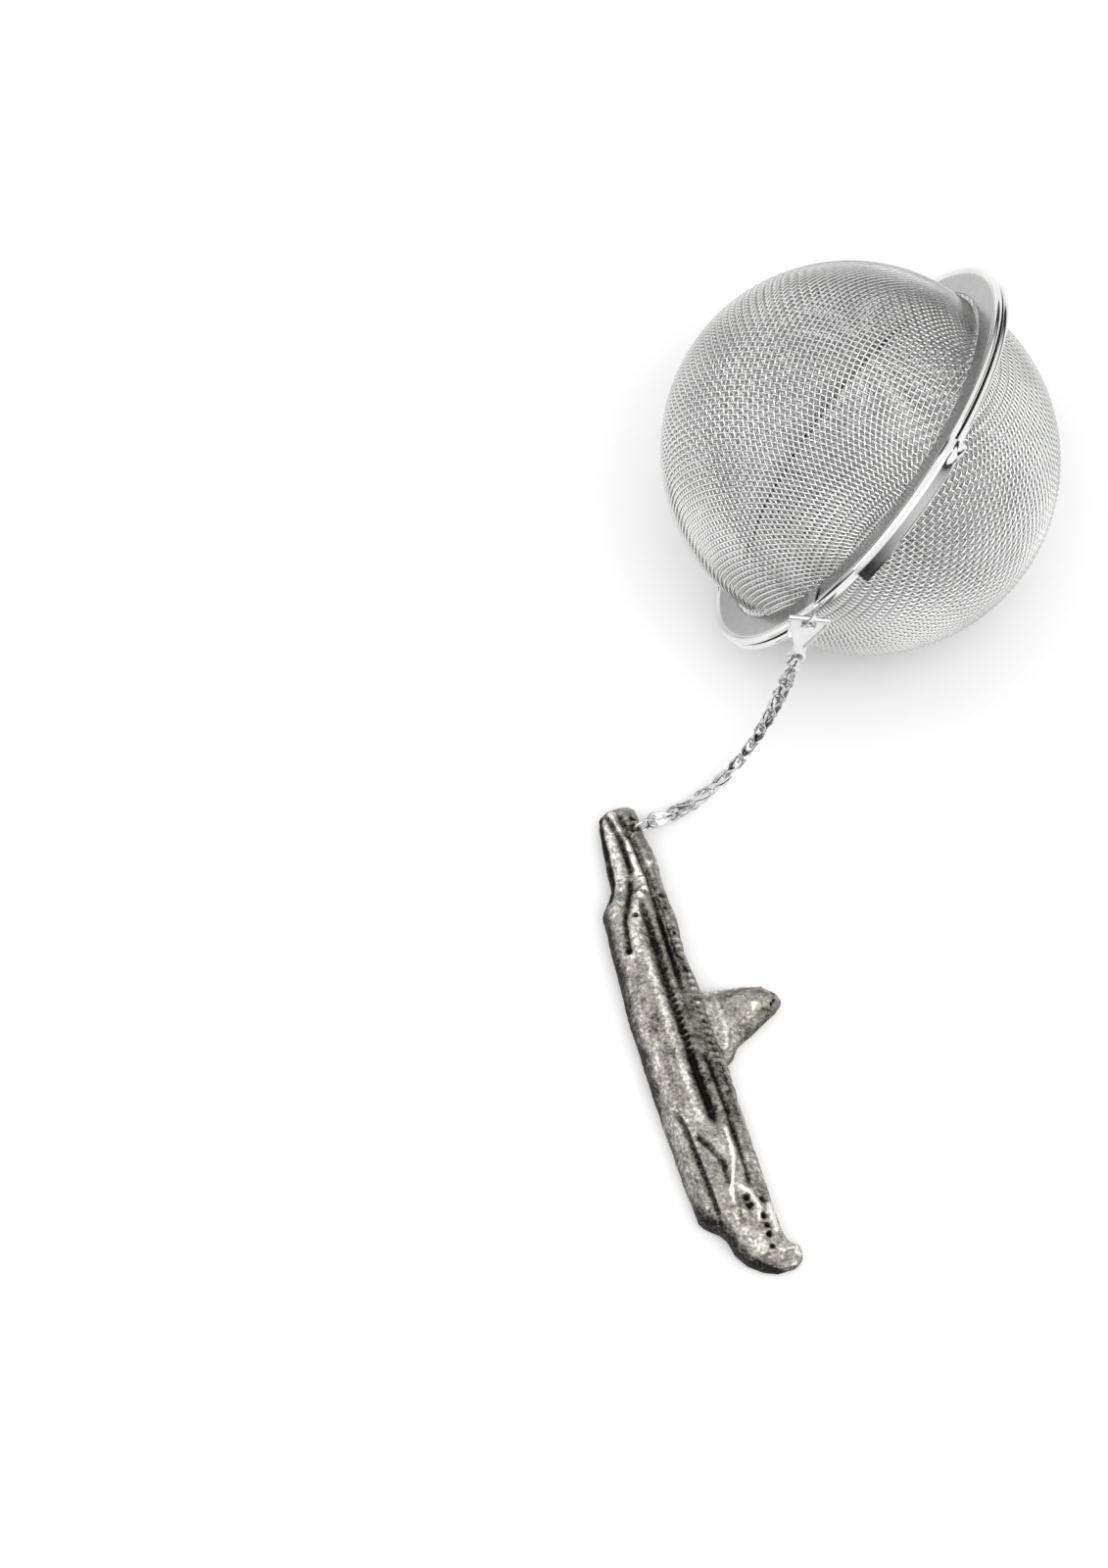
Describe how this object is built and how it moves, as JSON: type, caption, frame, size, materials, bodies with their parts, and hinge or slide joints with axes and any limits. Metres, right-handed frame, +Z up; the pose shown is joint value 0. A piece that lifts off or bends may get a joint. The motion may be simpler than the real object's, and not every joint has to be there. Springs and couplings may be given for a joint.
{
  "type": "tea infuser",
  "caption": "Mesh ball tea infuser with a twist-lock rim, a chain of folded links and a submarine charm, lying on a table.",
  "frame": {"origin": "middle of the footprint, on the table the infuser lies on", "axes": "+Z up from the table, +Y from the charm towards the ball, +X to the right"},
  "size_m": [0.0532, 0.1176, 0.0455],
  "materials": {
    "mesh": "woven stainless wire, bright drawn",
    "polished_rim": "polished stainless sheet",
    "stamped_steel": "bright stamped stainless sheet",
    "pewter": "antiqued cast pewter, dark recesses and bright worn edges"
  },
  "bodies": {
    "upper_half": {"upper_mesh_bowl": "mesh", "upper_rim_flange": "polished_rim", "chain_strap": "stamped_steel"},
    "lower_half": {"lower_mesh_bowl": "mesh", "lower_rim_flange": "polished_rim"},
    "chain_plate": {"chain_plate": "stamped_steel"},
    "chain_link_01": {"chain_link_01": "stamped_steel"},
    "chain_link_02": {"chain_link_02": "stamped_steel"},
    "chain_link_03": {"chain_link_03": "stamped_steel"},
    "chain_link_04": {"chain_link_04": "stamped_steel"},
    "chain_link_05": {"chain_link_05": "stamped_steel"},
    "chain_link_06": {"chain_link_06": "stamped_steel"},
    "chain_link_07": {"chain_link_07": "stamped_steel"},
    "chain_link_08": {"chain_link_08": "stamped_steel"},
    "chain_link_09": {"chain_link_09": "stamped_steel"},
    "chain_link_10": {"chain_link_10": "stamped_steel"},
    "chain_link_11": {"chain_link_11": "stamped_steel"},
    "chain_link_12": {"chain_link_12": "stamped_steel"},
    "charm_ring": {"charm_ring": "stamped_steel"},
    "submarine_charm": {"submarine_charm": "pewter"}
  },
  "joints": [
    {"name": "lock_twist", "type": "hinge", "parent": "upper_half", "child": "lower_half", "pos_m": [0.00346, 0.03423, 0.02286], "axis": [-0.7847, 0.3428, 0.5165], "range_deg": [0, 43.5]},
    {"name": "plate_swing", "type": "hinge", "parent": "upper_half", "child": "chain_plate", "pos_m": [-0.00282, 0.00877, 0.03118], "axis": [0.9839, -0.0202, -0.1774], "range_deg": [-35, 8]},
    {"name": "link_01_swing", "type": "hinge", "parent": "chain_plate", "child": "chain_link_01", "pos_m": [-0.00416, 0.00794, 0.02385], "axis": [-0.1162, -0.9807, 0.157], "range_deg": [-28, 28]},
    {"name": "link_02_swing", "type": "hinge", "parent": "chain_link_01", "child": "chain_link_02", "pos_m": [-0.00475, 0.00757, 0.02111], "axis": [0.4074, 0.8838, -0.2302], "range_deg": [-28, 28]},
    {"name": "link_03_swing", "type": "hinge", "parent": "chain_link_02", "child": "chain_link_03", "pos_m": [-0.0054, 0.00717, 0.0184], "axis": [-0.6564, -0.6943, 0.2949], "range_deg": [-28, 28]},
    {"name": "link_04_swing", "type": "hinge", "parent": "chain_link_03", "child": "chain_link_04", "pos_m": [-0.00613, 0.00671, 0.01571], "axis": [0.8362, 0.4285, -0.3423], "range_deg": [-28, 28]},
    {"name": "link_05_swing", "type": "hinge", "parent": "chain_link_04", "child": "chain_link_05", "pos_m": [-0.00695, 0.0062, 0.01306], "axis": [-0.9257, -0.1113, 0.3615], "range_deg": [-28, 28]},
    {"name": "link_06_swing", "type": "hinge", "parent": "chain_link_05", "child": "chain_link_06", "pos_m": [-0.00789, 0.00561, 0.01047], "axis": [0.9137, -0.2239, -0.3392], "range_deg": [-28, 28]},
    {"name": "link_07_swing", "type": "hinge", "parent": "chain_link_06", "child": "chain_link_07", "pos_m": [-0.00899, 0.00493, 0.00797], "axis": [-0.8035, 0.536, 0.2591], "range_deg": [-28, 28]},
    {"name": "link_08_swing", "type": "hinge", "parent": "chain_link_07", "child": "chain_link_08", "pos_m": [-0.0103, 0.00411, 0.00561], "axis": [0.6212, -0.7769, -0.102], "range_deg": [-28, 28]},
    {"name": "link_09_swing", "type": "hinge", "parent": "chain_link_08", "child": "chain_link_09", "pos_m": [-0.01187, 0.00313, 0.00349], "axis": [-0.4294, 0.8914, -0.1452], "range_deg": [-28, 28]},
    {"name": "link_10_swing", "type": "hinge", "parent": "chain_link_09", "child": "chain_link_10", "pos_m": [-0.01379, 0.00193, 0.00182], "axis": [0.3325, -0.8268, 0.4538], "range_deg": [-28, 28]},
    {"name": "link_11_swing", "type": "hinge", "parent": "chain_link_10", "child": "chain_link_11", "pos_m": [-0.01604, 0.00053, 0.00091], "axis": [-0.4083, 0.5863, -0.6997], "range_deg": [-28, 28]},
    {"name": "link_12_swing", "type": "hinge", "parent": "chain_link_11", "child": "chain_link_12", "pos_m": [-0.01842, -0.00095, 0.00106], "axis": [0.5796, -0.2855, 0.7632], "range_deg": [-28, 28]},
    {"name": "ring_swing", "type": "hinge", "parent": "chain_link_12", "child": "charm_ring", "pos_m": [-0.02059, -0.00231, 0.0022], "axis": [-0.5796, 0.2855, -0.7632], "range_deg": [-30, 30]},
    {"name": "charm_swing", "type": "hinge", "parent": "charm_ring", "child": "submarine_charm", "pos_m": [-0.02272, -0.00363, 0.0022], "axis": [-0.5291, 0.8486, 0], "range_deg": [-18, 18]}
  ]
}
